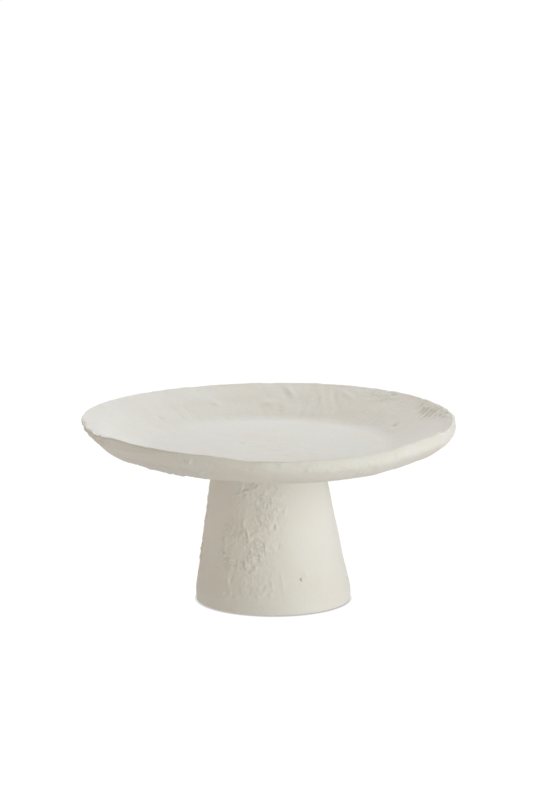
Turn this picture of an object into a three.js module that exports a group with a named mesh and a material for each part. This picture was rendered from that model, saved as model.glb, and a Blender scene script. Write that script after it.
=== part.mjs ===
// A hand-formed papier-mache cake stand: a shallow round dish on a hollow, flared pedestal.
//
// The dish and the pedestal are two separate mouldings. A plywood disc sits half in a recess
// under the dish and half in a recess on top of the pedestal, and centres one on the other.
// A ring of glue round it bonds the two mouldings, and four felt pads lie under the foot.
//
// Millimetres, +Z up. The origin is on the table, under the centre of the dish, and -Y is the front.
import * as THREE from "three";

// --- Overall size ---
const DISH_RADIUS = 150;
const DISH_DEPTH = 29; // underside to the top of the rim, before the rim's own waviness
const FOOT_RADIUS = 62;
const PEDESTAL_HEIGHT = 116.25;
const FLOOR_THICKNESS = 7.5; // of the dish, over its flat joint face
const PAD_THICKNESS = 0.6;
const GLUE_THICKNESS = 0.75;

// --- Heights above the table that follow from them ---
const PEDESTAL_TOP = PAD_THICKNESS + PEDESTAL_HEIGHT;
const DISH_UNDERSIDE = PEDESTAL_TOP + GLUE_THICKNESS;
const DISH_FLOOR = DISH_UNDERSIDE + FLOOR_THICKNESS; // flat face that the cake board stands on
const RIM_TOP = DISH_UNDERSIDE + DISH_DEPTH;

// --- Dish section ---
const FLOOR_FLAT_RADIUS = 93; // the floor is truly flat inside this radius
const WALL_FOOT_RADIUS = 100; // the inside wall would meet the floor here, but for a soft blend
const FLOOR_BLEND_RADIUS = 106; // outside this radius the inside wall is straight
const CREST_WIDTH = 3; // the rounded crest, measured across its chord
const CREST_DEPTH = 0.8; // how far that chord lies below the rim's top
// The shallow underside meets the steep outside wall at a knee, and runs straight through it
// from `inner` to `outer` radius.
const OUTSIDE_KNEE = { r: 118, rise: 5.2, slope: 0.106, inner: 102, outer: 134 };
const UNDERSIDE_LEVEL_TO = 80; // the underside sets off level, towards this radius
const BELOW_CREST = { inset: 2, drop: 10 }; // the outside wall leaves the crest towards this point
const CREST_ROUND = 0.5;
const JOINT_FACE_RADIUS = 48;

// --- Pedestal section ---
const PEDESTAL_TOP_RADIUS = 43.6;
const WALL_THICKNESS = 10;
const FOOT_BAND = 10; // the foot's side is upright for this height
const FOOT_RING_WIDTH = 13; // width of the flat ring under the foot
const DECK_THICKNESS = 12; // solid top of the pedestal
const EDGE_ROUND = 1.2;
const FLARE_TOP = 3 * FOOT_BAND; // above it the outside is a straight cone
const FLARE_TOP_RADIUS = FOOT_RADIUS - 3.9;
const FLARE_CONTROL = { coneAt: 1.2 * FOOT_BAND, z: 1.6 * FOOT_BAND };
const INSIDE_FLARE = 2;

// --- Locating disc and its recesses ---
const LOCATING_DISC_RADIUS = 29.7;
const RECESS_RADIUS = 30;
const RECESS_IN_DISH = 2.5;
const RECESS_IN_PEDESTAL = 5.5;
const DISC_END_GAP = 0.25;
const GLUE_TO_RECESS = 0.5; // the glue starts this far outside the recess
const GLUE_TO_EDGE = 1; // and stops this far short of the pedestal's edge

// --- Felt pads ---
const PAD_RADIUS = 4.5;
const PAD_RING_RADIUS = 54;
const PAD_PLACES = ["back_right", "back_left", "front_left", "front_right"];

// --- Hand forming: how far the mouldings stray from a true round. Azimuths are in degrees from +X. ---
// Each lobe lifts the rim by `rise` at `count` peaks evenly round the dish, the first at `peak`.
const RIM_LOBES = [
  { count: 1, rise: 0.6, peak: -72 },
  { count: 2, rise: 1.05, peak: 11 },
  { count: 3, rise: 0.35, peak: 65 },
];
// Each hump lifts it by `rise` within `reach` of the azimuth `peak`.
const RIM_HUMPS = [
  { peak: -125, reach: 22, rise: 3.1 },
  { peak: -35, reach: 11, rise: 2 },
];
const WAVE_FROM = 105; // radius where the waviness starts
// The crest leans in by up to `most`, and the wall is fuller at one side and leaner at the other.
// Each sets in at the radius `from` and is full at the radius `to`.
const CREST_INSET = { most: 1.4, peak: -42, from: 110, to: 146 };
const WALL_BULGE = { most: 3.6, peak: -28, from: 120, to: 142 };
const PEDESTAL_LEAN = 4; // the foot stands this far to the right of the dish's centre

// --- Mesh fineness ---
const AROUND_DISH = 72;
const AROUND_PEDESTAL = 56;
const AROUND_SMALL = 24;
const CURVE_STEPS = 5;

const radians = THREE.MathUtils.degToRad;
const smoothstep = THREE.MathUtils.smoothstep;
const DECK_UNDERSIDE = PEDESTAL_TOP - DECK_THICKNESS;

// Revolves an outline of radius and height about +Z. It runs out below, up outside and in above.
function revolve(outline, around) {
  return new THREE.LatheGeometry(outline.getPoints(CURVE_STEPS), around).rotateX(Math.PI / 2);
}

// Moves every vertex as `move` says: it takes radius, azimuth and height, and gives the new radius
// and height, and any sideways shift along +X.
function reshape(geometry, move) {
  const position = geometry.getAttribute("position");
  for (let i = 0; i < position.count; i++) {
    const azimuth = Math.atan2(position.getY(i), position.getX(i));
    const radius = Math.hypot(position.getX(i), position.getY(i));
    const { r, z, shift = 0 } = move(radius, azimuth, position.getZ(i));
    position.setXYZ(i, r * Math.cos(azimuth) + shift, r * Math.sin(azimuth), z);
  }
  geometry.computeVertexNormals();
  return geometry;
}

// 1 at the azimuth `peak`, in degrees, and -1 midway between one of the `count` peaks and the next.
function lobe(azimuth, peak, count = 1) {
  return Math.cos(count * (azimuth - radians(peak)));
}

// 1 within three quarters of `reach` degrees of the azimuth `peak`, easing to 0 at half as far again.
function near(azimuth, peak, reach) {
  const turned = THREE.MathUtils.radToDeg(azimuth) - peak;
  const away = Math.abs(THREE.MathUtils.euclideanModulo(turned + 180, 360) - 180);
  return 1 - smoothstep(away, 0.75 * reach, 1.5 * reach);
}

// The dish strays from round only towards its rim, so its floor and its joint face stay flat.
function handFormedDish(r, azimuth, z) {
  const lobes = RIM_LOBES.map(({ rise, peak, count }) => rise * lobe(azimuth, peak, count));
  const humps = RIM_HUMPS.map(({ rise, peak, reach }) => rise * near(azimuth, peak, reach));
  const wave = [...lobes, ...humps].reduce((sum, rise) => sum + rise);
  const inset = (CREST_INSET.most * (1 + lobe(azimuth, CREST_INSET.peak))) / 2;
  const upTheWall = THREE.MathUtils.clamp((z - DISH_FLOOR) / (RIM_TOP - DISH_FLOOR), 0, 1);
  const bulge = WALL_BULGE.most * lobe(azimuth, WALL_BULGE.peak) * Math.sin(Math.PI * upTheWall);
  const pushed = bulge * smoothstep(r, WALL_BULGE.from, WALL_BULGE.to);
  const leaned = inset * smoothstep(upTheWall, 0.5, 1) * smoothstep(r, CREST_INSET.from, CREST_INSET.to);
  return { r: r + pushed - leaned, z: z + wave * smoothstep(r, WAVE_FROM, DISH_RADIUS) };
}

// The pedestal stands square under the joint and drifts to the right towards its foot.
function leaningPedestal(r, azimuth, z) {
  const below = THREE.MathUtils.clamp((DECK_UNDERSIDE - z) / DECK_UNDERSIDE, 0, 1);
  return { r, z, shift: PEDESTAL_LEAN * below };
}

function dishGeometry() {
  const crestInner = DISH_RADIUS - CREST_WIDTH;
  const crestZ = RIM_TOP - CREST_DEPTH;
  const wallSlope = (crestZ - DISH_FLOOR) / (crestInner - WALL_FOOT_RADIUS);
  const blendZ = DISH_FLOOR + wallSlope * (FLOOR_BLEND_RADIUS - WALL_FOOT_RADIUS);
  const recessCeiling = DISH_UNDERSIDE + RECESS_IN_DISH;
  const kneeZ = DISH_UNDERSIDE + OUTSIDE_KNEE.rise;
  const kneeLine = (r) => kneeZ + OUTSIDE_KNEE.slope * (r - OUTSIDE_KNEE.r);
  const outline = new THREE.Path();
  outline.moveTo(0, recessCeiling);
  outline.lineTo(RECESS_RADIUS, recessCeiling);
  outline.lineTo(RECESS_RADIUS, DISH_UNDERSIDE);
  outline.lineTo(JOINT_FACE_RADIUS, DISH_UNDERSIDE);
  const { inner, outer } = OUTSIDE_KNEE;
  outline.bezierCurveTo(UNDERSIDE_LEVEL_TO, DISH_UNDERSIDE, inner, kneeLine(inner), OUTSIDE_KNEE.r, kneeZ);
  const wallTop = { r: DISH_RADIUS - BELOW_CREST.inset, z: RIM_TOP - BELOW_CREST.drop };
  outline.bezierCurveTo(outer, kneeLine(outer), wallTop.r, wallTop.z, DISH_RADIUS, crestZ);
  outline.quadraticCurveTo(DISH_RADIUS - CREST_ROUND, RIM_TOP + CREST_DEPTH, crestInner, crestZ);
  outline.lineTo(FLOOR_BLEND_RADIUS, blendZ);
  outline.quadraticCurveTo(WALL_FOOT_RADIUS, DISH_FLOOR, FLOOR_FLAT_RADIUS, DISH_FLOOR);
  outline.lineTo(0, DISH_FLOOR);
  return reshape(revolve(outline, AROUND_DISH), handFormedDish);
}

function pedestalGeometry() {
  const footZ = PAD_THICKNESS;
  const footInner = FOOT_RADIUS - FOOT_RING_WIDTH;
  const recessFloor = PEDESTAL_TOP - RECESS_IN_PEDESTAL;
  const coneRadius = (z) =>
    THREE.MathUtils.mapLinear(z, FLARE_TOP, PEDESTAL_TOP, FLARE_TOP_RADIUS, PEDESTAL_TOP_RADIUS);
  const outline = new THREE.Path();
  outline.moveTo(0, DECK_UNDERSIDE);
  outline.lineTo(coneRadius(DECK_UNDERSIDE) - 2 * WALL_THICKNESS, DECK_UNDERSIDE);
  outline.quadraticCurveTo(
    coneRadius(DECK_UNDERSIDE) - WALL_THICKNESS,
    DECK_UNDERSIDE,
    coneRadius(DECK_UNDERSIDE - WALL_THICKNESS) - WALL_THICKNESS,
    DECK_UNDERSIDE - WALL_THICKNESS,
  );
  outline.lineTo(FLARE_TOP_RADIUS - WALL_THICKNESS, FLARE_TOP);
  outline.quadraticCurveTo(footInner + INSIDE_FLARE, FOOT_BAND, footInner, footZ);
  outline.lineTo(FOOT_RADIUS - EDGE_ROUND, footZ);
  outline.quadraticCurveTo(FOOT_RADIUS, footZ, FOOT_RADIUS, footZ + EDGE_ROUND);
  outline.lineTo(FOOT_RADIUS, FOOT_BAND);
  const { coneAt, z } = FLARE_CONTROL;
  outline.quadraticCurveTo(coneRadius(coneAt), z, FLARE_TOP_RADIUS, FLARE_TOP);
  outline.lineTo(PEDESTAL_TOP_RADIUS, PEDESTAL_TOP);
  outline.lineTo(RECESS_RADIUS, PEDESTAL_TOP);
  outline.lineTo(RECESS_RADIUS, recessFloor);
  outline.lineTo(0, recessFloor);
  return reshape(revolve(outline, AROUND_PEDESTAL), leaningPedestal);
}

// A flat ring, or a plain disc where the inner radius is 0, with its lower face at height `bottom`.
function flatRing(inner, outer, bottom, thickness, around) {
  const outline = new THREE.Path();
  outline.moveTo(inner, bottom);
  outline.lineTo(outer, bottom);
  outline.lineTo(outer, bottom + thickness);
  outline.lineTo(inner, bottom + thickness);
  if (inner > 0) outline.lineTo(inner, bottom);
  return revolve(outline, around);
}

function locatingDiscGeometry() {
  const bottom = PEDESTAL_TOP - RECESS_IN_PEDESTAL + DISC_END_GAP;
  const top = DISH_UNDERSIDE + RECESS_IN_DISH - DISC_END_GAP;
  return flatRing(0, LOCATING_DISC_RADIUS, bottom, top - bottom, AROUND_SMALL);
}

function glueRingGeometry() {
  const inner = RECESS_RADIUS + GLUE_TO_RECESS;
  const outer = PEDESTAL_TOP_RADIUS - GLUE_TO_EDGE;
  return flatRing(inner, outer, PEDESTAL_TOP, GLUE_THICKNESS, AROUND_PEDESTAL);
}

const papierMache = new THREE.MeshStandardMaterial({ color: 0xdedbcf, roughness: 0.9, metalness: 0 });
const plywood = new THREE.MeshStandardMaterial({ color: 0xc9a878, roughness: 0.7, metalness: 0 });
const driedGlue = new THREE.MeshStandardMaterial({ color: 0xe6dfc8, roughness: 0.5, metalness: 0 });
const felt = new THREE.MeshStandardMaterial({ color: 0xd8d4c8, roughness: 1, metalness: 0 });

function named(name, geometry, material) {
  const mesh = new THREE.Mesh(geometry, material);
  mesh.name = name;
  return mesh;
}

// Four pads on the diagonals of the foot ring, named from the back right round to the front right.
function feltPads() {
  const pads = new THREE.Group();
  pads.position.x = PEDESTAL_LEAN;
  PAD_PLACES.forEach((place, i) => {
    const azimuth = Math.PI / 4 + (i * Math.PI) / 2;
    const pad = named(`felt_pad_${place}`, flatRing(0, PAD_RADIUS, 0, PAD_THICKNESS, AROUND_SMALL), felt);
    pad.position.set(PAD_RING_RADIUS * Math.cos(azimuth), PAD_RING_RADIUS * Math.sin(azimuth), 0);
    pads.add(pad);
  });
  return pads;
}

const cakeStand = new THREE.Group();
cakeStand.add(
  named("dish", dishGeometry(), papierMache),
  named("pedestal", pedestalGeometry(), papierMache),
  named("locating_disc", locatingDiscGeometry(), plywood),
  named("glue_ring", glueRingGeometry(), driedGlue),
  feltPads(),
);

export default cakeStand;
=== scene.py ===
"""A hand-formed papier-mache cake stand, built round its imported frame.

The dish and the pedestal are revolved outlines, strayed from round as the frame's own solids are, with
pulp relief pressed into the mesh: lumps, winding wrinkles, torn layer edges, creases and pits.
Lengths are in millimetres up to the moment a mesh is made. Azimuths go from +X, with the front at -90:
the named places are in degrees, and the `azimuth` of a turned outline is in radians.
"""

import math

import bpy
import numpy as np
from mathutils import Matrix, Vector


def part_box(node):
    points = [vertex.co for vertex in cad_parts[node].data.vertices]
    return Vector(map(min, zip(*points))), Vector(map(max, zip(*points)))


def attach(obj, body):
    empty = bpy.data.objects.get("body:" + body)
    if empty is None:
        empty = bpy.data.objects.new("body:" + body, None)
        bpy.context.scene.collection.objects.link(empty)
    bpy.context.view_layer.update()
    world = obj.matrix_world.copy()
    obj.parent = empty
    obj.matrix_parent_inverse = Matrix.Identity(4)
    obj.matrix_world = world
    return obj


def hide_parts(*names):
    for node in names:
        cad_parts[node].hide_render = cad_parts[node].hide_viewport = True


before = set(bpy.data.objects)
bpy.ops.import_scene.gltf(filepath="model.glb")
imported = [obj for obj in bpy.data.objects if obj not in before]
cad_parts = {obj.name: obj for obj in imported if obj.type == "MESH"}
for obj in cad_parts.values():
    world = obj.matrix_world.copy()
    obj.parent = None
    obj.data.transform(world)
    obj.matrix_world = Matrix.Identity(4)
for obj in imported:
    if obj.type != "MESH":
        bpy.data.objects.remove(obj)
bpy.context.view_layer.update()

METRES = 0.001  # one millimetre, in metres

# --- Heights ---
DISH_DEPTH = 29  # underside to the top of the rim, before the rim's own waviness
FLOOR_THICKNESS = 7.5
DECK_THICKNESS = 12  # solid top of the pedestal
DISH_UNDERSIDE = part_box("dish")[0].z / METRES
DISH_FLOOR = DISH_UNDERSIDE + FLOOR_THICKNESS
RIM_TOP = DISH_UNDERSIDE + DISH_DEPTH
PEDESTAL_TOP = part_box("pedestal")[1].z / METRES
DECK_UNDERSIDE = PEDESTAL_TOP - DECK_THICKNESS
PAD_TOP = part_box("pedestal")[0].z / METRES  # the foot ring lies on the felt pads

# --- Dish section ---
DISH_RADIUS = 150
FLOOR_FLAT_RADIUS = 93  # the floor is flat inside this radius
WALL_FOOT_RADIUS = 100  # the inside wall would meet the floor here, but for a soft blend
FLOOR_BLEND_RADIUS = 106  # outside this radius the inside wall is straight
CREST_WIDTH = 3  # the rounded crest, measured across its chord
CREST_DEPTH = 0.8  # how far that chord lies below the rim's top
CREST_ROUND = 0.5
# The shallow underside meets the steep outside wall at the middle one of these three points, which lie
# in line. Each is a radius and a rise over the underside.
OUTSIDE_KNEE = [(102, 3.5), (118, 5.2), (134, 6.9)]
UNDERSIDE_LEVEL_TO = 80  # the underside sets off level, towards this radius
BELOW_CREST = (2, 10)  # the outside wall leaves the crest towards this far in and down from its top
JOINT_FACE_RADIUS = 48
RECESS_RADIUS = 30
RECESS_IN_DISH = 2.5
RECESS_IN_PEDESTAL = 5.5

# --- Pedestal section ---
FOOT_RADIUS = 62
FOOT_RING_WIDTH = 13
FOOT_BAND = 10  # the foot's side is upright up to this height
EDGE_ROUND = 1.2
FLARE_TOP = 3 * FOOT_BAND  # above it the outside is a straight cone
FLARE_TOP_RADIUS = FOOT_RADIUS - 3.9
PEDESTAL_TOP_RADIUS = 43.6
WALL_THICKNESS = 10
INSIDE_FLARE = 2
PEDESTAL_LEAN = 4  # the foot stands this far to the right of the dish's centre

# --- The camera, in metres and degrees ---
VIEW_DISTANCE = 5.0
VIEW_ELEVATION = 13.235
AIM_HEIGHT = 0.0726
AIM_ABOVE = 1.012  # the camera looks this many degrees over the middle of the stand
SIDE_STEP = -0.0015  # and stands this far to its left
LENS = 280.3  # millimetres


# ---------- Numbers ----------


def smoothstep(x, low, high):
    t = np.clip((x - low) / (high - low), 0, 1)
    return t * t * (3 - 2 * t)


def lobe(azimuth, peak, count=1):
    """1 at `peak` degrees, and -1 midway between one of the `count` peaks and the next."""
    return np.cos(count * (azimuth - math.radians(peak)))


NOISE_GAIN = 1.6  # brings gradient noise up to about -1 to 1


def smooth_noise(points, size, seed):
    """Gradient noise of about -1 to 1 at points (..., 3), with features about `size` across."""
    draw = np.random.default_rng(seed)
    shuffle = draw.permutation(256)
    slopes = draw.normal(size=(256, 3))
    slopes /= np.linalg.norm(slopes, axis=1)[:, None]
    cell = np.floor(points / size).astype(int)
    inside = points / size - cell
    fade = inside**3 * (inside * (inside * 6 - 15) + 10)
    total = np.zeros(points.shape[:-1])
    for corner in np.ndindex(2, 2, 2):
        x, y, z = np.moveaxis((cell + corner) & 255, -1, 0)
        slope = slopes[shuffle[(shuffle[(shuffle[x] + y) & 255] + z) & 255]]
        share = np.where(corner, fade, 1 - fade).prod(-1)
        total += share * ((inside - corner) * slope).sum(-1)
    return total * NOISE_GAIN


# ---------- Outlines and the meshes turned from them ----------


def line(start, end, steps):
    """Points from start to end, without the start."""
    return curve([start, end], steps)


def curve(controls, steps):
    """Points along the Bezier curve of these controls, without its first point."""
    t = np.linspace(0, 1, steps + 1)[1:, None]
    level = [np.array(point, float) for point in controls]
    while len(level) > 1:
        level = [a * (1 - t) + b * t for a, b in zip(level, level[1:])]
    return level[0]


def evenly(around):
    return np.linspace(0, 2 * math.pi, around, endpoint=False)


def turned_from(azimuth, centre):
    """How many degrees the azimuth is past the centre, between -180 and 180."""
    return (np.degrees(azimuth) - centre + 180) % 360 - 180


def near(azimuth, centre, reach):
    """1 within three quarters of `reach` degrees of the centre, easing to 0 at half as far again."""
    return 1 - smoothstep(np.abs(turned_from(azimuth, centre)), 0.75 * reach, 1.5 * reach)


def crowded(around, places):
    """Azimuths for that many columns, twice as close where a (centre, reach) place holds fine detail."""
    fine = np.linspace(0, 2 * math.pi, 7201)
    density = 1 + sum(near(fine, centre, reach) for centre, reach in places)
    count = np.concatenate([[0], np.cumsum((density[1:] + density[:-1]) / 2)])
    return np.interp(np.arange(around) / around, count / count[-1], fine)


def smooth_piece(name, data):
    """Shades a mesh smooth and puts it into the scene as an object."""
    data.shade_smooth()
    piece = bpy.data.objects.new(name, data)
    bpy.context.scene.collection.objects.link(piece)
    return piece


class Turned:
    """An outline of (radius, height) points turned about the vertical, as arrays of (rows, around).

    `out_r` and `out_z` are the outline's outward normal, `along` is the length run along it, and
    `stretch` numbers the stretch of it that a row belongs to.
    """

    def __init__(self, start, stretches, azimuths):
        self.outline = np.vstack([[start], *stretches])
        rows = np.repeat(np.arange(len(stretches) + 1), [1, *map(len, stretches)])
        slopes = np.gradient(self.outline, axis=0)
        slopes /= np.linalg.norm(slopes, axis=1)[:, None]
        self.out_r = slopes[:, 1, None]
        self.out_z = -slopes[:, 0, None]
        steps = np.linalg.norm(np.diff(self.outline, axis=0), axis=1)
        self.along = np.concatenate([[0], np.cumsum(steps)])[:, None]
        self.azimuth = azimuths[None, :]
        self.r = self.outline[:, 0, None] + 0 * self.azimuth
        self.z = self.outline[:, 1, None] + 0 * self.azimuth
        self.stretch = np.maximum(rows - 1, 0)[:, None] + 0 * self.azimuth
        self.shift = 0 * self.r
        self.relief = 0 * self.r
        self.rough = 0 * self.r

    def points(self, r=None, z=None):
        """Every point in space, or where it would be with another radius or height."""
        r = self.r if r is None else r + 0 * self.r
        z = self.z if z is None else z + 0 * self.r
        return np.stack([r * np.cos(self.azimuth) + self.shift, r * np.sin(self.azimuth), z], -1)

    def raise_by(self, relief):
        """Moves the surface out along its own normal. The two ends stay on the axis."""
        self.relief = relief
        on_axis = self.outline[:, 0, None] < 1e-6
        self.r = self.r + np.where(on_axis, 0, relief * self.out_r)
        self.z = self.z + relief * self.out_z

    def mesh(self, name):
        """The closed mesh, with the relief and the roughness kept on it for the material."""
        rows, around = self.r.shape
        points = self.points() * METRES
        vertices = np.vstack([points[0, :1], points[1:-1].reshape(-1, 3), points[-1, :1]])
        ring = np.arange(around)
        after = np.roll(ring, -1)
        first = 1 + np.arange(rows - 3)[:, None] * around
        quads = np.stack([first + ring, first + after, first + around + after, first + around + ring], -1)
        last = 1 + (rows - 3) * around
        start_fan = [(0, 1 + b, 1 + a) for a, b in zip(ring.tolist(), after.tolist())]
        end_fan = [(last + a, last + b, len(vertices) - 1) for a, b in zip(ring.tolist(), after.tolist())]
        data = bpy.data.meshes.new(name)
        data.from_pydata(vertices.tolist(), [], start_fan + quads.reshape(-1, 4).tolist() + end_fan)
        for label, field in (("relief", self.relief), ("rough", self.rough)):
            values = np.concatenate([field[0, :1], field[1:-1].ravel(), field[-1, :1]])
            attribute = data.attributes.new(label, "FLOAT", "POINT")
            attribute.data.foreach_set("value", values.astype(np.float32))
        return smooth_piece(name, data)


# ---------- Pulp relief ----------

# Layers of relief: the height and the size of their features, and a step on the seed.
LUMPS = [(0.34, 34, 0), (0.14, 13, 1)]
WRINKLES = [(0.6, 5.5, 10), (0.45, 3, 20)]
FLAKES = [(0.5, 9, 30), (0.45, 4.5, 40)]
ROUGH_MEAN = 0.6  # taken off the rough layers, so that they dig in as much as they stand out
GRIT = (2.2, 50)
GRIT_SMOOTH = 0.02  # its height where the pulp was smoothed
GRIT_ROUGH = 0.2  # and how much higher it is where left rough


def layered(field, points, layers, seed=0):
    """The sum of a field, such as smooth_noise, over (height, size, seed step) layers."""
    return sum(height * field(points, size, seed + step) for height, size, step in layers)


def mark(u, v, size, turn, rise):
    """A bump or hollow at the origin of (u, v), with its two reaches, turned by `turn` degrees."""
    c, s = math.cos(math.radians(turn)), math.sin(math.radians(turn))
    return rise * np.exp(-(((u * c + v * s) / size[0]) ** 2) - ((v * c - u * s) / size[1]) ** 2)


def plan_marks(points, marks):
    """Marks placed in plan, each (x, y), (length, width), turn and rise."""
    x, y = points[..., 0], points[..., 1]
    return sum(mark(x - at[0], y - at[1], size, turn, rise) for at, size, turn, rise in marks)


def wall_marks(turned, marks):
    """Marks on an upright wall, each (azimuth, height), (height, width), lean to the right and rise."""
    total = 0 * turned.r
    for (azimuth, height), size, lean, rise in marks:
        side = np.radians(turned_from(turned.azimuth, azimuth)) * turned.r
        total += mark(turned.z - height, side, size, lean, rise)
    return total


def wrinkles(grain, size, seed):
    """Thin raised lines that wind and break off, from 0 to 1."""
    bent = grain + 0.4 * size * np.stack([smooth_noise(grain, size, seed + k) for k in range(3)], -1)
    thread = np.exp(-((smooth_noise(bent, size, seed + 3) / 0.15) ** 2))
    return thread * smoothstep(smooth_noise(grain, 1.7 * size, seed + 4), -0.1, 0.3)


def torn_edges(grain, size, seed):
    """Overlapping flakes of paper, from 0 to 1, with a short step from one to the next."""
    bent = grain + 0.3 * size * np.stack([smooth_noise(grain, size / 2, seed + k) for k in range(3)], -1)
    return smoothstep(smooth_noise(bent, size, seed + 3), -0.05, 0.06)


def pulp(points, grain, worked, seed):
    """Relief of the pulp in millimetres. `worked` is 0 where it was smoothed and 1 where left rough."""
    lumps = layered(smooth_noise, points, LUMPS, seed)
    ridges = layered(wrinkles, grain, WRINKLES, seed)
    flakes = layered(torn_edges, grain, FLAKES, seed)
    grit = (GRIT_SMOOTH + GRIT_ROUGH * worked) * smooth_noise(points, GRIT[0], seed + GRIT[1])
    return lumps + worked * (ridges + flakes - ROUGH_MEAN) + grit


# ---------- The dish ----------

# Hand forming, as on the frame's dish. Each lobe is a number of peaks round the rim, its rise and the
# azimuth of the first peak, and each hump is an azimuth, its reach in degrees and its rise.
RIM_LOBES = [(1, 0.6, -72), (2, 1.05, 11), (3, 0.35, 65)]
RIM_HUMPS = [(-125, 22, 3.1), (-35, 11, 2)]
WAVE_FROM = 105  # radius where the waviness starts
# How far the crest leans in, and the wall swells, at most; the azimuth of that most; and the radii
# where it sets in and where it is full.
CREST_INSET = (1.4, -42, 110, 146)
WALL_BULGE = (3.6, -28, 120, 142)

UNDERSIDE, OUTSIDE, CREST, BLEND = 3, 4, 5, 8  # stretches of the dish's outline

# The mesh: columns round it, closer together near some azimuths, and radii where its rings get closer.
AROUND_DISH = 690
FINE_ON_DISH = [(18, 12), (-165, 12), (60, 14), (-118, 12)]
FINE_WALL_RADIUS = 127
FINE_FLOOR_RADIUS = 50
FLOOR_MIDDLE_RADIUS = 6

# How rough, from 0 to 1: the floor, patches inside, and the outside wall in general and in patches.
ROUGH_FLOOR = 0.1
ROUGH_PATCHES_INSIDE = 0.12
ROUGH_WALL = 0.12
ROUGH_WALL_PATCHES = 0.4
# Left rough on the inside wall: the azimuth, its reach, how rough, and the radii where that sets in and
# is full. ROUGH_OUTSIDE is a place on the outside wall, up to the height ROUGH_BELOW.
ROUGH_INSIDE = [
    (19, 6, 0.35, 126, 133),
    (48, 5, 0.55, 128, 136),
    (65, 24, 0.16, 96, 116),
]
ROUGH_OUTSIDE = (-128, 20, 0.9, 108, 116)
ROUGH_BELOW = 135

# The relief's grain. On the walls it is drawn out down the slope, and on the floor it is even.
DISH_SEED = 100
WALL_GRAIN_RADIUS = 110
WALL_GRAIN_STRETCH = 2.2
FLOOR_GRAIN = (105, 70)  # radii where the even grain sets in and is full
FLOOR_SMOOTHED = 0.3  # how much weaker the pulp's relief is on the floor
JOINT_FADE_RADIUS = 62  # the relief fades in from the joint face out to here
STROKE_RADIUS = 120
STROKE_STRETCH = 4

# Marks seen in plan, on the floor and the inside wall.
INSIDE_MARKS = [
    ((-22, 12), (2.2, 3.0), 0, -1.0),  # dent in the floor
    ((4.5, 30), (12, 2.6), 2, -0.6),  # long creases in the floor
    ((4.5, 25), (12, 2.6), 2, 0.35),
    ((4, -17), (8, 2.6), 0, -0.55),
    ((12, -35.5), (7, 2.6), 10, -0.6),
    ((10, -6.5), (4, 2.5), 0, -0.6),
    ((-35, 38), (10, 3), -4, -0.4),
    ((-11, -3), (9, 3), 5, -0.4),
    ((27, 0), (3, 5), 30, 0.5),  # ripples on the right of the floor
    ((33, -14), (3, 5), -30, -0.5),
    ((37, -28), (3, 6), 25, 0.5),
    ((30, -24), (2.5, 4), 0, -0.5),
    ((-88, 74), (1.7, 1.7), 0, -0.8),  # pock on the left of the back wall
    ((-43, 116), (3.4, 3), 0, 0.7),
    ((0, 122), (4, 3.6), 0, 0.9),  # blob on the back wall
    ((18, 135.5), (9, 2.0), -68, 1.0),  # smears down the back wall
    ((13.5, 133), (8, 2.2), -70, -0.6),
    ((43, 123), (13, 2.4), -87, 0.6),
    ((54, 121), (13, 2.4), -85, -0.6),
    ((66, 118), (9, 2.4), -60, 0.5),
    ((102, 50), (2.2, 2.4), 0, -1.3),  # pit where the right wall starts
    ((134.5, -60.5), (2.4, 2.0), -24, 1.0),  # nub on the front right of the rim
]

# Marks on the outside wall.
OUTSIDE_MARKS = [
    ((-116.4, 142), (1.3, 1.1), 0, -1.3),  # pock and bump under the front left of the rim
    ((-114.8, 142), (1.6, 0.9), 0, 1.1),
    ((-78, 139), (2.4, 1.2), 25, 0.7),
    ((-76.5, 141), (1.8, 1.0), -20, 0.6),
    ((-71, 136), (1.6, 2.2), 0, 0.6),
    ((-96, 139), (1.2, 1.2), 0, -0.6),
]

# A blunt ridge along the left of the outside wall, a little under the crest, where two layers meet:
# its azimuth and reach, its height at its left end, how far it climbs to the right, the azimuth where
# the climb starts and the degrees it takes, how far the ridge stands out and its softness.
RIDGE_PLACE = (-144, 18)
RIDGE_HEIGHT = 142.8
RIDGE_CLIMB = 3.8
RIDGE_CLIMBS_FROM = -142
RIDGE_CLIMB_REACH = 18
RIDGE_RISE = 1.5
RIDGE_SOFTNESS = 2.6

# The lower edge of the outside wall is fuller on its right: the azimuth and reach, how far over the
# underside, the reach in height and the rise.
FULL_EDGE_PLACE = (-35, 45)
FULL_EDGE_HEIGHT = 9
FULL_EDGE_REACH = 5
FULL_EDGE_RISE = 1.7

# Ridges that fingertips left high on the right of the inside wall: the middle in plan, the reach along
# x and along y, the turn of the ridges from x, their spacing and their height.
FINGER_RIDGES = [
    ((131, 50), (8.5, 18), 50, 6, 1.5),
    ((141, 27), (4, 10), 40, 5, 1.1),
]
FINGER_WINDING = [(2.2, 9, 95), (0.5, 4, 97)]
FINGER_WIDTH = 0.55  # of a ridge: a smaller number is a sharper one
FINGER_GROOVE = 0.2  # share of the height that the grooves dig in

# Torn bits on the crest: their layers, how high they stand everywhere and how much more at its ends,
# how far they spread across it, how far below the rim's top they stop, and the ends' azimuths and
# reaches. A gentler swell runs all along it.
CREST_BITS = [(1, 3.4, 91), (0.6, 2, 92)]
BITS_EVERYWHERE = 0.12
BITS_AT_ENDS = 1.5
CREST_SPREAD = 4
CREST_DROP = 8
TORN_LEFT = (197, 14)
TORN_RIGHT = (9, 8)
CREST_SWELL = [(0.35, 9, 90)]

# Strokes down the inside wall: their layers, and the azimuth and reach where they are full.
STROKES = [(0.3, 9, 93), (0.25, 5, 94)]
SMEARED_BACK = (62, 26)


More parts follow.
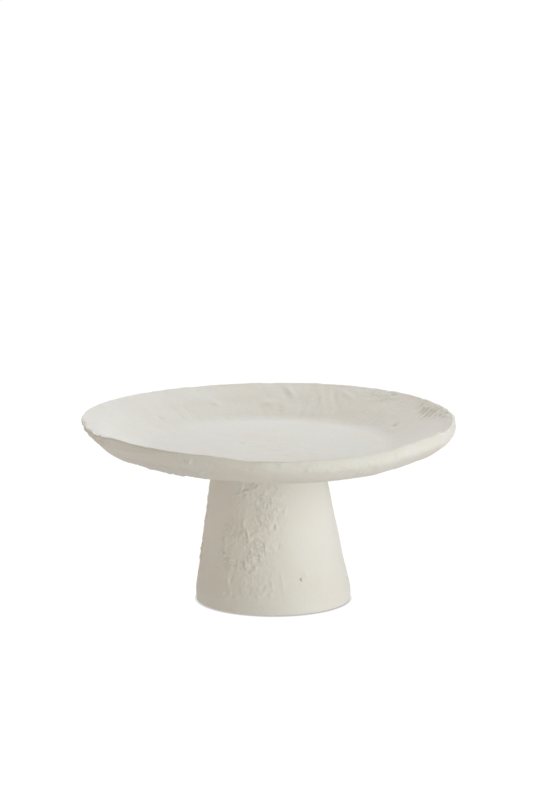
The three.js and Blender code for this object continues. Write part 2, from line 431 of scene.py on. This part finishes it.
def dish_outline():
    """The dish's section, from the axis under it, out, over the crest and back to the axis."""
    crest_r = DISH_RADIUS - CREST_WIDTH
    crest_z = RIM_TOP - CREST_DEPTH
    wall_slope = (crest_z - DISH_FLOOR) / (crest_r - WALL_FOOT_RADIUS)
    blend = (FLOOR_BLEND_RADIUS, DISH_FLOOR + wall_slope * (FLOOR_BLEND_RADIUS - WALL_FOOT_RADIUS))
    mid_wall = (FINE_WALL_RADIUS, DISH_FLOOR + wall_slope * (FINE_WALL_RADIUS - WALL_FOOT_RADIUS))
    flat_edge = (FLOOR_FLAT_RADIUS, DISH_FLOOR)
    fine_floor = (FINE_FLOOR_RADIUS, DISH_FLOOR)
    floor_middle = (FLOOR_MIDDLE_RADIUS, DISH_FLOOR)
    ceiling = DISH_UNDERSIDE + RECESS_IN_DISH
    joint_edge = (JOINT_FACE_RADIUS, DISH_UNDERSIDE)
    before_knee, knee, after_knee = [(r, DISH_UNDERSIDE + rise) for r, rise in OUTSIDE_KNEE]
    below_crest = (DISH_RADIUS - BELOW_CREST[0], RIM_TOP - BELOW_CREST[1])
    crest_outer = (DISH_RADIUS, crest_z)
    crest_inner = (crest_r, crest_z)
    return (0, ceiling), [
        line((0, ceiling), (RECESS_RADIUS, ceiling), 2),
        line((RECESS_RADIUS, ceiling), (RECESS_RADIUS, DISH_UNDERSIDE), 1),
        line((RECESS_RADIUS, DISH_UNDERSIDE), joint_edge, 2),
        curve([joint_edge, (UNDERSIDE_LEVEL_TO, DISH_UNDERSIDE), before_knee, knee], 20),
        curve([knee, after_knee, below_crest, crest_outer], 36),
        curve([crest_outer, (DISH_RADIUS - CREST_ROUND, RIM_TOP + CREST_DEPTH), crest_inner], 7),
        line(crest_inner, mid_wall, 20),
        line(mid_wall, blend, 11),
        curve([blend, (WALL_FOOT_RADIUS, DISH_FLOOR), flat_edge], 12),
        line(flat_edge, fine_floor, 10),
        line(fine_floor, floor_middle, 20),
        line(floor_middle, (0, DISH_FLOOR), 2),
    ]


def hand_form_dish(dish):
    """Strays from round only towards the rim, so the floor and the joint face stay flat."""
    wave = sum(rise * lobe(dish.azimuth, peak, count) for count, rise, peak in RIM_LOBES)
    wave = wave + sum(rise * near(dish.azimuth, peak, reach) for peak, reach, rise in RIM_HUMPS)
    inset_most, inset_peak, inset_from, inset_to = CREST_INSET
    bulge_most, bulge_peak, bulge_from, bulge_to = WALL_BULGE
    inset = inset_most * (1 + lobe(dish.azimuth, inset_peak)) / 2
    up_the_wall = np.clip((dish.z - DISH_FLOOR) / (RIM_TOP - DISH_FLOOR), 0, 1)
    bulge = bulge_most * lobe(dish.azimuth, bulge_peak) * np.sin(math.pi * up_the_wall)
    r = dish.r + bulge * smoothstep(dish.r, bulge_from, bulge_to)
    dish.z = dish.z + wave * smoothstep(dish.r, WAVE_FROM, DISH_RADIUS)
    dish.r = r - inset * smoothstep(up_the_wall, 0.5, 1) * smoothstep(dish.r, inset_from, inset_to)


def dish_worked(dish, points):
    """Where the dish was left rough, from 0 to 1: named places, and patches here and there."""
    inside = (dish.stretch >= CREST) & (dish.stretch <= BLEND)
    outside = (dish.stretch >= UNDERSIDE) & (dish.stretch <= OUTSIDE)
    patches = smoothstep(smooth_noise(points, 45, 7), 0.05, 0.5)
    rough = [
        ROUGH_FLOOR * (dish.stretch >= BLEND),
        ROUGH_PATCHES_INSIDE * patches * inside,
        outside * (ROUGH_WALL + ROUGH_WALL_PATCHES * patches),
    ]
    for azimuth, reach, amount, sets_in, full in ROUGH_INSIDE:
        place = amount * near(dish.azimuth, azimuth, reach) * inside
        rough.append(place * smoothstep(dish.r, sets_in, full))
    azimuth, reach, amount, sets_in, full = ROUGH_OUTSIDE
    place = amount * near(dish.azimuth, azimuth, reach) * outside
    rough.append(place * smoothstep(dish.r, sets_in, full) * (dish.z < ROUGH_BELOW))
    return np.maximum.reduce(rough)


def dish_ridge(dish):
    climbed = smoothstep(turned_from(dish.azimuth, RIDGE_CLIMBS_FROM), 0, RIDGE_CLIMB_REACH)
    ridge_z = RIDGE_HEIGHT + RIDGE_CLIMB * climbed
    present = near(dish.azimuth, *RIDGE_PLACE) * (dish.stretch == OUTSIDE)
    return RIDGE_RISE * present * np.exp(-np.abs(dish.z - ridge_z) / RIDGE_SOFTNESS)


def full_edge(dish):
    low_on_wall = np.exp(-(((dish.z - DISH_UNDERSIDE - FULL_EDGE_HEIGHT) / FULL_EDGE_REACH) ** 2))
    return FULL_EDGE_RISE * near(dish.azimuth, *FULL_EDGE_PLACE) * low_on_wall * (dish.stretch == OUTSIDE)


def finger_ridges(points):
    total = 0
    for middle, (reach_x, reach_y), turn, spacing, height in FINGER_RIDGES:
        x = points[..., 0] - middle[0]
        y = points[..., 1] - middle[1]
        across = x * math.sin(math.radians(turn)) - y * math.cos(math.radians(turn))
        wavy = across + layered(smooth_noise, points, FINGER_WINDING)
        crests = np.exp(-((np.sin(math.pi * wavy / spacing) / FINGER_WIDTH) ** 2))
        spot = np.exp(-((x / reach_x) ** 4) - ((y + x) / reach_y) ** 4)
        uneven = 1 + 0.5 * smooth_noise(points, 7, 96)
        total = total + spot * height * uneven * (crests - FINGER_GROOVE)
    return total


def ragged_crest(dish, points):
    """Torn bits that stand on the crest, most of them at its left and right ends."""
    at_crest = np.exp(-(((dish.r - DISH_RADIUS + CREST_WIDTH) / CREST_SPREAD) ** 2))
    at_crest = at_crest * (dish.z > RIM_TOP - CREST_DROP)
    ends = near(dish.azimuth, *TORN_LEFT) + 0.6 * near(dish.azimuth, *TORN_RIGHT)
    bits = layered(smooth_noise, points, CREST_BITS)
    swell = layered(smooth_noise, points, CREST_SWELL)
    return at_crest * (swell + (BITS_EVERYWHERE + BITS_AT_ENDS * ends) * bits)


def smears(dish):
    """Soft strokes drawn down the inside wall by a hand or a brush."""
    inside = (dish.stretch > CREST) & (dish.stretch <= BLEND)
    strokes = dish.points(r=STROKE_RADIUS, z=dish.along / STROKE_STRETCH)
    amount = 0.12 + 0.88 * near(dish.azimuth, *SMEARED_BACK)
    return inside * amount * layered(smooth_noise, strokes, STROKES)


def build_dish():
    """The dish with its relief, which leaves the joint face and the recess plain."""
    start, stretches = dish_outline()
    dish = Turned(start, stretches, crowded(AROUND_DISH, FINE_ON_DISH))
    hand_form_dish(dish)
    points = dish.points()
    grain = dish.points(r=WALL_GRAIN_RADIUS, z=dish.along / WALL_GRAIN_STRETCH)
    on_floor = smoothstep(dish.r, *FLOOR_GRAIN)[..., None] * (dish.stretch >= BLEND)[..., None]
    grain = grain * (1 - on_floor) + points * on_floor
    faded_in = smoothstep(dish.r, JOINT_FACE_RADIUS, JOINT_FADE_RADIUS)
    free = np.where(dish.stretch <= UNDERSIDE, faded_in, 1)
    worked = dish_worked(dish, points)
    relief = pulp(points, grain, worked, DISH_SEED) * (1 - FLOOR_SMOOTHED * on_floor[..., 0])
    relief = relief + dish_ridge(dish) + full_edge(dish) + ragged_crest(dish, points) + smears(dish)
    relief = relief + (dish.stretch > CREST) * finger_ridges(points)
    relief = relief + (dish.stretch > OUTSIDE) * plan_marks(points, INSIDE_MARKS)
    relief = relief + (dish.stretch == OUTSIDE) * wall_marks(dish, OUTSIDE_MARKS)
    dish.rough = np.clip(worked, 0, 1) * free
    dish.raise_by(relief * free)
    return dish.mesh("dish_pulp")


# ---------- The pedestal ----------

FOOT_SIDE, CONE = 5, 8  # stretches of the pedestal's outline

AROUND_PEDESTAL = 410
FINE_ON_PEDESTAL = [(-106, 32), (-67, 2)]

# The rough patch on the left of the front follows an azimuth that swings between these two as it
# climbs, from the height SWING_FROM to SWING_TO. It is smoothed again towards its right.
PATCH_LOW = -112
PATCH_HIGH = -100
PATCH_REACH = 24
SWING_FROM = 40
SWING_TO = 105
PATCH_ROUGH = 0.8
PATCH_SMOOTHED = 0.35
PATCH_FADE = (-6, 24)  # degrees past its middle where the smoothing sets in and is full
PATCH_HEIGHTS = (6, 24)  # where it sets in and where it is full
# Patches on the back and the left side: azimuth and reach, how rough, and such heights.
BACK_PLACE = (60, 30)
BACK_ROUGH = 0.8
BACK_HEIGHTS = (20, 50)
LEFT_PLACE = (178, 14)
LEFT_ROUGH = 0.9
LEFT_HEIGHTS = (16, 30)
LEFT_TOP = (104, 90)  # and it sets in from the top here too

PEDESTAL_SEED = 200
PEDESTAL_GRAIN = 1.3  # its wrinkles are this many times finer than on the dish's floor
FLAKE_SEED = 260
FLAKE_SIZE = 5.5
FLAKE_RISE = 0.7
FLAKE_SUNK = 0.2  # share of that rise by which the ground between the flakes is sunk
JOINT_FADE = 6  # the relief fades out over this height under the joint
FOOT_FADE = 2.5  # and over this height above the foot ring

# Marks on the outside of the pedestal.
PEDESTAL_MARKS = [
    ((-110, 64), (4, 1.1), -14, 1.0),  # upright ridges left of the middle
    ((-111.8, 65), (4, 1.0), -12, -0.7),
    ((-114.4, 72), (4.5, 1.1), 6, 0.8),
    ((-116, 71), (4, 1.0), 6, -0.7),
    ((-112.7, 59), (2.6, 1.2), 24, 0.9),
    ((-107, 61), (3.0, 1.1), 38, 0.8),
    ((-132, 57), (6, 1.4), 0, 0.9),
    ((-134, 57), (5, 1.2), 0, -0.5),
    ((-126, 23), (4, 1.3), -22, 0.9),
    ((-124, 27), (3, 1.2), 15, -0.7),
    ((-112, 43), (5, 1.2), -4, 0.5),
    ((-92.5, 72), (2.4, 1.8), 35, 0.8),  # small bumps right of the middle
    ((-84.4, 71), (2.4, 1.3), 0, 0.9),
    ((-87, 70), (2.0, 1.1), 30, -0.6),
    ((-76, 82), (3, 1.3), 25, 0.5),
    ((-84, 55), (2.2, 1.2), 15, -0.6),
    ((-82, 27), (7, 1.5), -6, 0.5),
    ((-67, 28.7), (0.65, 0.65), 0, -3.6),  # pin hole low on the right of the front
    ((-62, 32), (2.2, 2.2), 0, 0.4),
]


def cone_radius(z):
    """Outside radius of the straight part, and of its line carried on down."""
    share = (z - FLARE_TOP) / (PEDESTAL_TOP - FLARE_TOP)
    return FLARE_TOP_RADIUS + share * (PEDESTAL_TOP_RADIUS - FLARE_TOP_RADIUS)


def pedestal_outline():
    """The pedestal's section, from the axis under its deck, down inside, up outside and to the axis."""
    deck_radius = cone_radius(DECK_UNDERSIDE)
    deck_edge = (deck_radius - 2 * WALL_THICKNESS, DECK_UNDERSIDE)
    deck_corner = (deck_radius - WALL_THICKNESS, DECK_UNDERSIDE)
    wall_top_z = DECK_UNDERSIDE - WALL_THICKNESS
    wall_top = (cone_radius(wall_top_z) - WALL_THICKNESS, wall_top_z)
    wall_foot = (FLARE_TOP_RADIUS - WALL_THICKNESS, FLARE_TOP)
    inner = FOOT_RADIUS - FOOT_RING_WIDTH
    ring_edge = (FOOT_RADIUS - EDGE_ROUND, PAD_TOP)
    side_foot = (FOOT_RADIUS, PAD_TOP + EDGE_ROUND)
    side_top = (FOOT_RADIUS, FOOT_BAND)
    flare_control = (cone_radius(1.2 * FOOT_BAND), 1.6 * FOOT_BAND)
    flare_top = (FLARE_TOP_RADIUS, FLARE_TOP)
    top_edge = (PEDESTAL_TOP_RADIUS, PEDESTAL_TOP)
    recess_edge = (RECESS_RADIUS, PEDESTAL_TOP)
    recess_floor = PEDESTAL_TOP - RECESS_IN_PEDESTAL
    return (0, DECK_UNDERSIDE), [
        line((0, DECK_UNDERSIDE), deck_edge, 4),
        curve([deck_edge, deck_corner, wall_top], 8),
        line(wall_top, wall_foot, 24),
        curve([wall_foot, (inner + INSIDE_FLARE, FOOT_BAND), (inner, PAD_TOP)], 12),
        line((inner, PAD_TOP), ring_edge, 5),
        curve([ring_edge, (FOOT_RADIUS, PAD_TOP), side_foot], 3),
        line(side_foot, side_top, 8),
        curve([side_top, flare_control, flare_top], 18),
        line(flare_top, top_edge, 132),
        line(top_edge, recess_edge, 3),
        line(recess_edge, (RECESS_RADIUS, recess_floor), 2),
        line((RECESS_RADIUS, recess_floor), (0, recess_floor), 3),
    ]


def pedestal_worked(pedestal, points):
    """Where the pedestal was left rough: the left of its front, and patches on its other sides."""
    outside = (pedestal.stretch >= FOOT_SIDE) & (pedestal.stretch <= CONE)
    height = pedestal.z
    middle = PATCH_LOW + (PATCH_HIGH - PATCH_LOW) * smoothstep(height, SWING_FROM, SWING_TO)
    to_the_right = smoothstep(turned_from(pedestal.azimuth, middle), *PATCH_FADE)
    strength = PATCH_ROUGH - PATCH_SMOOTHED * to_the_right
    front = strength * near(pedestal.azimuth, middle, PATCH_REACH) * smoothstep(height, *PATCH_HEIGHTS)
    back = BACK_ROUGH * near(pedestal.azimuth, *BACK_PLACE) * smoothstep(height, *BACK_HEIGHTS)
    left = LEFT_ROUGH * near(pedestal.azimuth, *LEFT_PLACE) * smoothstep(height, *LEFT_HEIGHTS)
    left = left * smoothstep(height, *LEFT_TOP)
    uneven = 0.35 + 0.65 * smoothstep(smooth_noise(points, 17, 17), -0.3, 0.35)
    return outside * uneven * np.maximum.reduce([front, back, left])


def build_pedestal():
    """The pedestal with its relief, which fades out towards the joint and the foot ring."""
    start, stretches = pedestal_outline()
    pedestal = Turned(start, stretches, crowded(AROUND_PEDESTAL, FINE_ON_PEDESTAL))
    below = np.clip((DECK_UNDERSIDE - pedestal.z) / DECK_UNDERSIDE, 0, 1)
    pedestal.shift = PEDESTAL_LEAN * below
    points = pedestal.points()
    free = smoothstep(pedestal.z, PEDESTAL_TOP, PEDESTAL_TOP - JOINT_FADE)
    free = free * smoothstep(pedestal.z, PAD_TOP, PAD_TOP + FOOT_FADE)
    worked = pedestal_worked(pedestal, points)
    outside = (pedestal.stretch >= FOOT_SIDE) & (pedestal.stretch <= CONE)
    relief = pulp(points, PEDESTAL_GRAIN * points, worked, PEDESTAL_SEED)
    relief = relief + outside * wall_marks(pedestal, PEDESTAL_MARKS)
    flakes = torn_edges(points, FLAKE_SIZE, FLAKE_SEED) - FLAKE_SUNK
    relief = relief + FLAKE_RISE * worked * flakes
    pedestal.rough = np.clip(worked, 0, 1) * free
    pedestal.raise_by(relief * free)
    return pedestal.mesh("pedestal_pulp")


# ---------- Materials ----------


def new_material(name, color, roughness, specular):
    """A material with its shader's plain values set, with its node tree and that shader."""
    material = bpy.data.materials.new(name)
    material.use_nodes = True
    shader = material.node_tree.nodes["Principled BSDF"]
    shader.inputs["Base Color"].default_value = (*color, 1)
    shader.inputs["Roughness"].default_value = roughness
    shader.inputs["Specular IOR Level"].default_value = specular
    return material, material.node_tree, shader


def add_noise(tree, scale, detail, roughness=0.5, stretch=(1, 1, 1)):
    """Noise of about `scale` features to the metre, closer together along an axis where stretched."""
    place = tree.nodes.new("ShaderNodeTexCoord")
    mapping = tree.nodes.new("ShaderNodeMapping")
    mapping.inputs["Scale"].default_value = stretch
    noise = tree.nodes.new("ShaderNodeTexNoise")
    noise.inputs["Scale"].default_value = scale
    noise.inputs["Detail"].default_value = detail
    noise.inputs["Roughness"].default_value = roughness
    tree.links.new(place.outputs["Object"], mapping.inputs["Vector"])
    tree.links.new(mapping.outputs["Vector"], noise.inputs["Vector"])
    return noise.outputs["Fac"]


def remap(tree, value, low, high, to_low, to_high):
    """Carries the range from low to high over to the range from to_low to to_high, and clamps."""
    node = tree.nodes.new("ShaderNodeMapRange")
    for socket, number in zip(("From Min", "From Max", "To Min", "To Max"), (low, high, to_low, to_high)):
        node.inputs[socket].default_value = number
    tree.links.new(value, node.inputs["Value"])
    return node.outputs["Result"]


def blend_colors(tree, share, first, second):
    """Mixes two colours, each a value or another node's output, by a share from 0 to 1."""
    node = tree.nodes.new("ShaderNodeMix")
    node.data_type = "RGBA"
    tree.links.new(share, node.inputs["Factor"])
    for socket, color in (("A", first), ("B", second)):
        target = next(i for i in node.inputs if i.name == socket and i.type == "RGBA")
        if isinstance(color, tuple):
            target.default_value = (*color, 1)
        else:
            tree.links.new(color, target)
    return next(o for o in node.outputs if o.type == "RGBA")


def add_bump(tree, shader, height, distance, strength, under=None):
    """Bump of that depth in metres on the shader, on top of another bump's normal if one is given."""
    bump = tree.nodes.new("ShaderNodeBump")
    bump.inputs["Distance"].default_value = distance
    bump.inputs["Strength"].default_value = strength
    tree.links.new(height, bump.inputs["Height"])
    if under is not None:
        tree.links.new(under, bump.inputs["Normal"])
    tree.links.new(bump.outputs["Normal"], shader.inputs["Normal"])
    return bump.outputs["Normal"]


def read_attribute(tree, name):
    node = tree.nodes.new("ShaderNodeAttribute")
    node.attribute_name = name
    return node.outputs["Fac"]


def tinted(color, tint):
    return tuple(channel * share for channel, share in zip(color, tint))


# Pulp colours, and tints that multiply them.
DISH_PULP = (0.80, 0.785, 0.745)
PEDESTAL_PULP = (0.80, 0.783, 0.74)
WARM = (0.985, 0.965, 0.93)
COOL = (0.985, 0.995, 0.99)
# HOLLOW tints the painted shade in the pulp's hollows, and the small dark flecks.
HOLLOW = (0.86, 0.84, 0.80)
# Relief in millimetres where the painted shade in the hollows starts and where it is full.
HOLLOW_STARTS = -0.7
HOLLOW_FULL = -3
# Depths of the fine bump, in metres.
CRUMB_DEPTH = 0.0012
FIBRE_DEPTH = 0.0005
GRAIN_DEPTH = 0.00018


def papier_mache(name, color):
    """Painted pulp: mottled off-white, with painted shade greying its hollows, and a fine fibrous grain.
    """
    material, tree, shader = new_material(name, color, 0.9, 0.25)
    relief = read_attribute(tree, "relief")
    mottle = remap(tree, add_noise(tree, 28, 3), 0.35, 0.7, 0, 1)
    mottled = blend_colors(tree, mottle, tinted(color, COOL), tinted(color, WARM))
    clouds = remap(tree, add_noise(tree, 75, 4, 0.6), 0.3, 0.75, 0, 0.5)
    cloudy = blend_colors(tree, clouds, mottled, color)
    # Painted shade: the colour greys where the relief sinks, as shade would fall in hollows and creases.
    hollow = remap(tree, relief, HOLLOW_FULL, HOLLOW_STARTS, 1, 0)
    shaded_in_hollows = blend_colors(tree, hollow, cloudy, tinted(color, HOLLOW))
    flecks = remap(tree, add_noise(tree, 620, 2), 0.72, 0.8, 0, 0.35)
    flecked = blend_colors(tree, flecks, shaded_in_hollows, tinted(color, HOLLOW))
    tree.links.new(flecked, shader.inputs["Base Color"])
    dullness = remap(tree, add_noise(tree, 160, 3), 0.3, 0.7, 0.84, 0.96)
    tree.links.new(dullness, shader.inputs["Roughness"])
    crumbs = tree.nodes.new("ShaderNodeMath")
    crumbs.operation = "MULTIPLY"
    tree.links.new(read_attribute(tree, "rough"), crumbs.inputs[0])
    tree.links.new(add_noise(tree, 520, 4, 0.65), crumbs.inputs[1])
    coarse = add_bump(tree, shader, crumbs.outputs["Value"], CRUMB_DEPTH, 0.6)
    fibres = add_bump(tree, shader, add_noise(tree, 330, 5, 0.6), FIBRE_DEPTH, 0.45, coarse)
    add_bump(tree, shader, add_noise(tree, 1500, 3, 0.6), GRAIN_DEPTH, 0.6, fibres)
    return material


def plywood():
    """Pale plies seen on the disc's edge as bands in its height, and grain along its faces."""
    material, tree, shader = new_material("plywood", (0.56, 0.38, 0.2), 0.65, 0.3)
    grain = add_noise(tree, 60, 4, 0.6, (1, 9, 0.4))
    plies = add_noise(tree, 500, 0, 0.5, (0.01, 0.01, 1))
    wood = blend_colors(tree, remap(tree, grain, 0.3, 0.7, 0, 1), (0.62, 0.44, 0.25), (0.46, 0.3, 0.15))
    banded = blend_colors(tree, remap(tree, plies, 0.48, 0.52, 0, 0.6), wood, (0.36, 0.22, 0.11))
    tree.links.new(banded, shader.inputs["Base Color"])
    add_bump(tree, shader, grain, 0.0003, 0.4)
    return material


def dried_glue():
    """Yellowed white glue, a little glossy, with a pulled and dimpled skin."""
    material, tree, shader = new_material("dried_glue", (0.78, 0.73, 0.6), 0.45, 0.5)
    skin = add_noise(tree, 240, 4, 0.6)
    tint = blend_colors(tree, remap(tree, skin, 0.3, 0.7, 0, 1), (0.8, 0.76, 0.64), (0.72, 0.66, 0.5))
    tree.links.new(tint, shader.inputs["Base Color"])
    tree.links.new(remap(tree, skin, 0.3, 0.7, 0.38, 0.6), shader.inputs["Roughness"])
    add_bump(tree, shader, skin, 0.0004, 0.5)
    return material


def pressed_felt():
    """Off-white felt: matted fibres, with a soft sheen at a low angle."""
    material, tree, shader = new_material("pressed_felt", (0.6, 0.57, 0.5), 1.0, 0.1)
    shader.inputs["Sheen Weight"].default_value = 0.35
    shader.inputs["Sheen Roughness"].default_value = 0.6
    fibres = add_noise(tree, 900, 6, 0.75, (1, 2.5, 1))
    tint = blend_colors(tree, remap(tree, fibres, 0.3, 0.7, 0, 1), (0.5, 0.47, 0.41), (0.68, 0.65, 0.58))
    tree.links.new(tint, shader.inputs["Base Color"])
    add_bump(tree, shader, fibres, 0.0005, 0.8)
    return material


# ---------- Small pieces ----------

PAD_INSET = 0.15  # the felt's own outline starts this far inside the frame's pad
PAD_RAGGED = 0.12  # and wanders by this much
AROUND_PAD = 96
PAD_SEED = 50
GLUE_TO_RECESS = 0.5  # the glue starts this far outside the recess
GLUE_SQUEEZED = 0.5  # and bulges out of the joint by about this much, give or take these layers
GLUE_BULGES = [(0.7, 12, 31), (0.3, 4, 32)]
GLUE_CORNERS = 0.35  # power of the glue's section: 1 is an ellipse, and less has squarer corners
AROUND_GLUE = 360
GLUE_STEPS = 16  # points round the glue's section


def ragged_disc(radius, bottom, top, around, ragged, seed):
    """A flat disc with a soft edge that wanders by `ragged`."""
    soft = (top - bottom) / 3
    start = (0, bottom)
    stretches = [
        line(start, (radius - soft, bottom), 6),
        curve([(radius - soft, bottom), (radius, bottom), (radius, bottom + soft)], 4),
        line((radius, bottom + soft), (radius, top - soft), 2),
        curve([(radius, top - soft), (radius, top), (radius - soft, top)], 4),
        line((radius - soft, top), (0, top), 6),
    ]
    disc = Turned(start, stretches, evenly(around))
    edge = smoothstep(disc.r, radius - 3 * ragged - soft, radius)
    disc.r = disc.r + edge * ragged * smooth_noise(disc.points(), 5, seed)
    return disc


def build_felt_pad(node, seed):
    """A felt disc that fills the frame's pad."""
    low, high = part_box(node)
    centre = (low + high) / 2
    radius = (high.x - low.x) / 2 / METRES - PAD_INSET
    pad = ragged_disc(radius, low.z / METRES, high.z / METRES, AROUND_PAD, PAD_RAGGED, seed)
    piece = pad.mesh(node + "_felt")
    piece.data.transform(Matrix.Translation((centre.x, centre.y, 0)))
    return piece


def squared(wave):
    """A sine or cosine made squarer, for a section with firmer corners than an ellipse."""
    return np.sign(wave) * np.abs(wave) ** GLUE_CORNERS


def build_glue_bead():
    """The glue squeezed out of the joint, as a ring closed on itself round its own middle."""
    low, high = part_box("glue_ring")
    outer = high.x / METRES
    inner = RECESS_RADIUS + GLUE_TO_RECESS
    bottom = low.z / METRES
    top = high.z / METRES
    turn = evenly(AROUND_GLUE)[None, :]
    roll = evenly(GLUE_STEPS)[:, None]
    spots = np.stack([outer * np.cos(turn), outer * np.sin(turn), 0 * turn], -1)
    squeezed = GLUE_SQUEEZED + layered(smooth_noise, spots, GLUE_BULGES)
    half_width = (outer - inner) / 2 + np.where(np.cos(roll) > 0, squeezed, 0)
    r = (outer + inner) / 2 + squared(np.cos(roll)) * half_width
    z = (bottom + top) / 2 + squared(np.sin(roll)) * (top - bottom) / 2 + 0 * turn
    vertices = np.stack([r * np.cos(turn), r * np.sin(turn), z], -1).reshape(-1, 3) * METRES
    ring = np.arange(AROUND_GLUE)
    after = np.roll(ring, -1)
    row = np.arange(GLUE_STEPS)[:, None] * AROUND_GLUE
    next_row = np.roll(row, -1, axis=0)
    quads = np.stack([row + ring, row + after, next_row + after, next_row + ring], -1)
    data = bpy.data.meshes.new("glue_bead")
    data.from_pydata(vertices.tolist(), [], quads.reshape(-1, 4).tolist())
    return smooth_piece("glue_bead", data)


def finish_piece(piece, material, node):
    """Dresses a piece in its material and puts it in the place of the frame's node."""
    piece.data.materials.clear()
    piece.data.materials.append(material)
    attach(piece, "root")
    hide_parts(node)


# ---------- Camera, floor and light ----------


def add_camera():
    elevation = math.radians(VIEW_ELEVATION)
    data = bpy.data.cameras.new("camera")
    data.lens = LENS
    camera = bpy.data.objects.new("camera", data)
    camera.location = (
        SIDE_STEP,
        -VIEW_DISTANCE * math.cos(elevation),
        AIM_HEIGHT + VIEW_DISTANCE * math.sin(elevation),
    )
    camera.rotation_euler = (math.radians(90 - VIEW_ELEVATION + AIM_ABOVE), 0, 0)
    bpy.context.scene.collection.objects.link(camera)
    bpy.context.scene.camera = camera


FLOOR_SEEN = (1.0, 1.0, 1.0)  # how bright the paper sweep looks
CONTACT_SHADE = (0.5, 0.49, 0.48)  # how it looks in the gap under the foot
CONTACT_REACH = 0.003  # metres
FLOOR_BOUNCE = (0.62, 0.589, 0.556)  # how much light it sends up under the stand
FLOOR_SIZE = 60  # metres

ROOM_STRENGTH = 0.172
ROOM_COLOR = (1.0, 0.93, 0.765)

SOFTBOX_DISTANCE = 2.0
SOFTBOX_AIM = (0, 0, 0.1)
# Name, azimuth (0 is +X, -90 the front), elevation, width in metres, power and colour.
SOFTBOXES = [
    ("key_right", -25, 15, 1.2, 15.2, (0.855, 0.885, 1.0)),
    ("key_front", -60, 25, 1.2, 5.4, (0.96, 1.0, 0.8)),
    ("low_front", -50, 5, 0.6, 6.1, (0.97, 1.0, 0.89)),
    ("low_left", -130, 5, 0.6, 0.9, (1.0, 0.9, 0.73)),
    ("fill_left", 180, 20, 1.2, 7.2, (1.0, 0.885, 0.8)),
    ("back", 90, 40, 1.2, 25, (0.77, 0.83, 1.0)),
    ("back_right", 20, 20, 1.2, 1.5, (0.99, 0.955, 1.0)),
    ("top", 60, 70, 1.2, 9.7, (1.0, 0.935, 0.785)),
]


def add_floor():
    """A white paper sweep that looks white to the camera and sends up a softer light of its own."""
    bpy.ops.mesh.primitive_plane_add(size=FLOOR_SIZE)
    floor = bpy.context.object
    floor.name = "floor"
    material = bpy.data.materials.new("white_sweep")
    material.use_nodes = True
    tree = material.node_tree
    shader = tree.nodes["Principled BSDF"]
    shader.inputs["Base Color"].default_value = (0.03, 0.03, 0.03, 1)
    shader.inputs["Roughness"].default_value = 1
    shader.inputs["Specular IOR Level"].default_value = 0
    shader.inputs["Emission Strength"].default_value = 1
    ray = tree.nodes.new("ShaderNodeLightPath")
    contact = tree.nodes.new("ShaderNodeAmbientOcclusion")
    contact.inputs["Distance"].default_value = CONTACT_REACH
    open_sky = remap(tree, contact.outputs["AO"], 0.3, 0.9, 0, 1)
    seen = blend_colors(tree, open_sky, CONTACT_SHADE, FLOOR_SEEN)
    glow = blend_colors(tree, ray.outputs["Is Camera Ray"], FLOOR_BOUNCE, seen)
    tree.links.new(glow, shader.inputs["Emission Color"])
    floor.data.materials.append(material)


def add_world():
    """A dim warm room that looks plain white behind the stand."""
    world = bpy.data.worlds.new("studio")
    world.use_nodes = True
    tree = world.node_tree
    room = tree.nodes["Background"]
    room.inputs["Color"].default_value = (*ROOM_COLOR, 1)
    room.inputs["Strength"].default_value = ROOM_STRENGTH
    seen = tree.nodes.new("ShaderNodeBackground")
    ray = tree.nodes.new("ShaderNodeLightPath")
    mix = tree.nodes.new("ShaderNodeMixShader")
    tree.links.new(ray.outputs["Is Camera Ray"], mix.inputs["Fac"])
    tree.links.new(room.outputs["Background"], mix.inputs[1])
    tree.links.new(seen.outputs["Background"], mix.inputs[2])
    tree.links.new(mix.outputs["Shader"], tree.nodes["World Output"].inputs["Surface"])
    bpy.context.scene.world = world


def add_softbox(name, azimuth, elevation, width, power, color):
    """A square light at that azimuth and elevation, facing the stand."""
    data = bpy.data.lights.new(name, "AREA")
    data.size = width
    data.energy = power
    data.color = color
    light = bpy.data.objects.new(name, data)
    az = math.radians(azimuth)
    el = math.radians(elevation)
    direction = Vector((math.cos(el) * math.cos(az), math.cos(el) * math.sin(az), math.sin(el)))
    light.location = direction * SOFTBOX_DISTANCE + Vector(SOFTBOX_AIM)
    light.rotation_euler = direction.to_track_quat("Z", "Y").to_euler()
    bpy.context.scene.collection.objects.link(light)


# ---------- The stand and its studio ----------

add_camera()

dish_pulp = papier_mache("papier_mache_dish", DISH_PULP)
finish_piece(build_dish(), dish_pulp, "dish")
pedestal_pulp = papier_mache("papier_mache_pedestal", PEDESTAL_PULP)
finish_piece(build_pedestal(), pedestal_pulp, "pedestal")
finish_piece(build_glue_bead(), dried_glue(), "glue_ring")
felt = pressed_felt()
for number, pad_node in enumerate(sorted(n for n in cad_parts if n.startswith("felt_pad"))):
    finish_piece(build_felt_pad(pad_node, PAD_SEED + number), felt, pad_node)
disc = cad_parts["locating_disc"]
disc.data.materials.clear()
disc.data.materials.append(plywood())

add_floor()
add_world()
for softbox in SOFTBOXES:
    add_softbox(*softbox)
bpy.context.scene.view_settings.view_transform = "Standard"
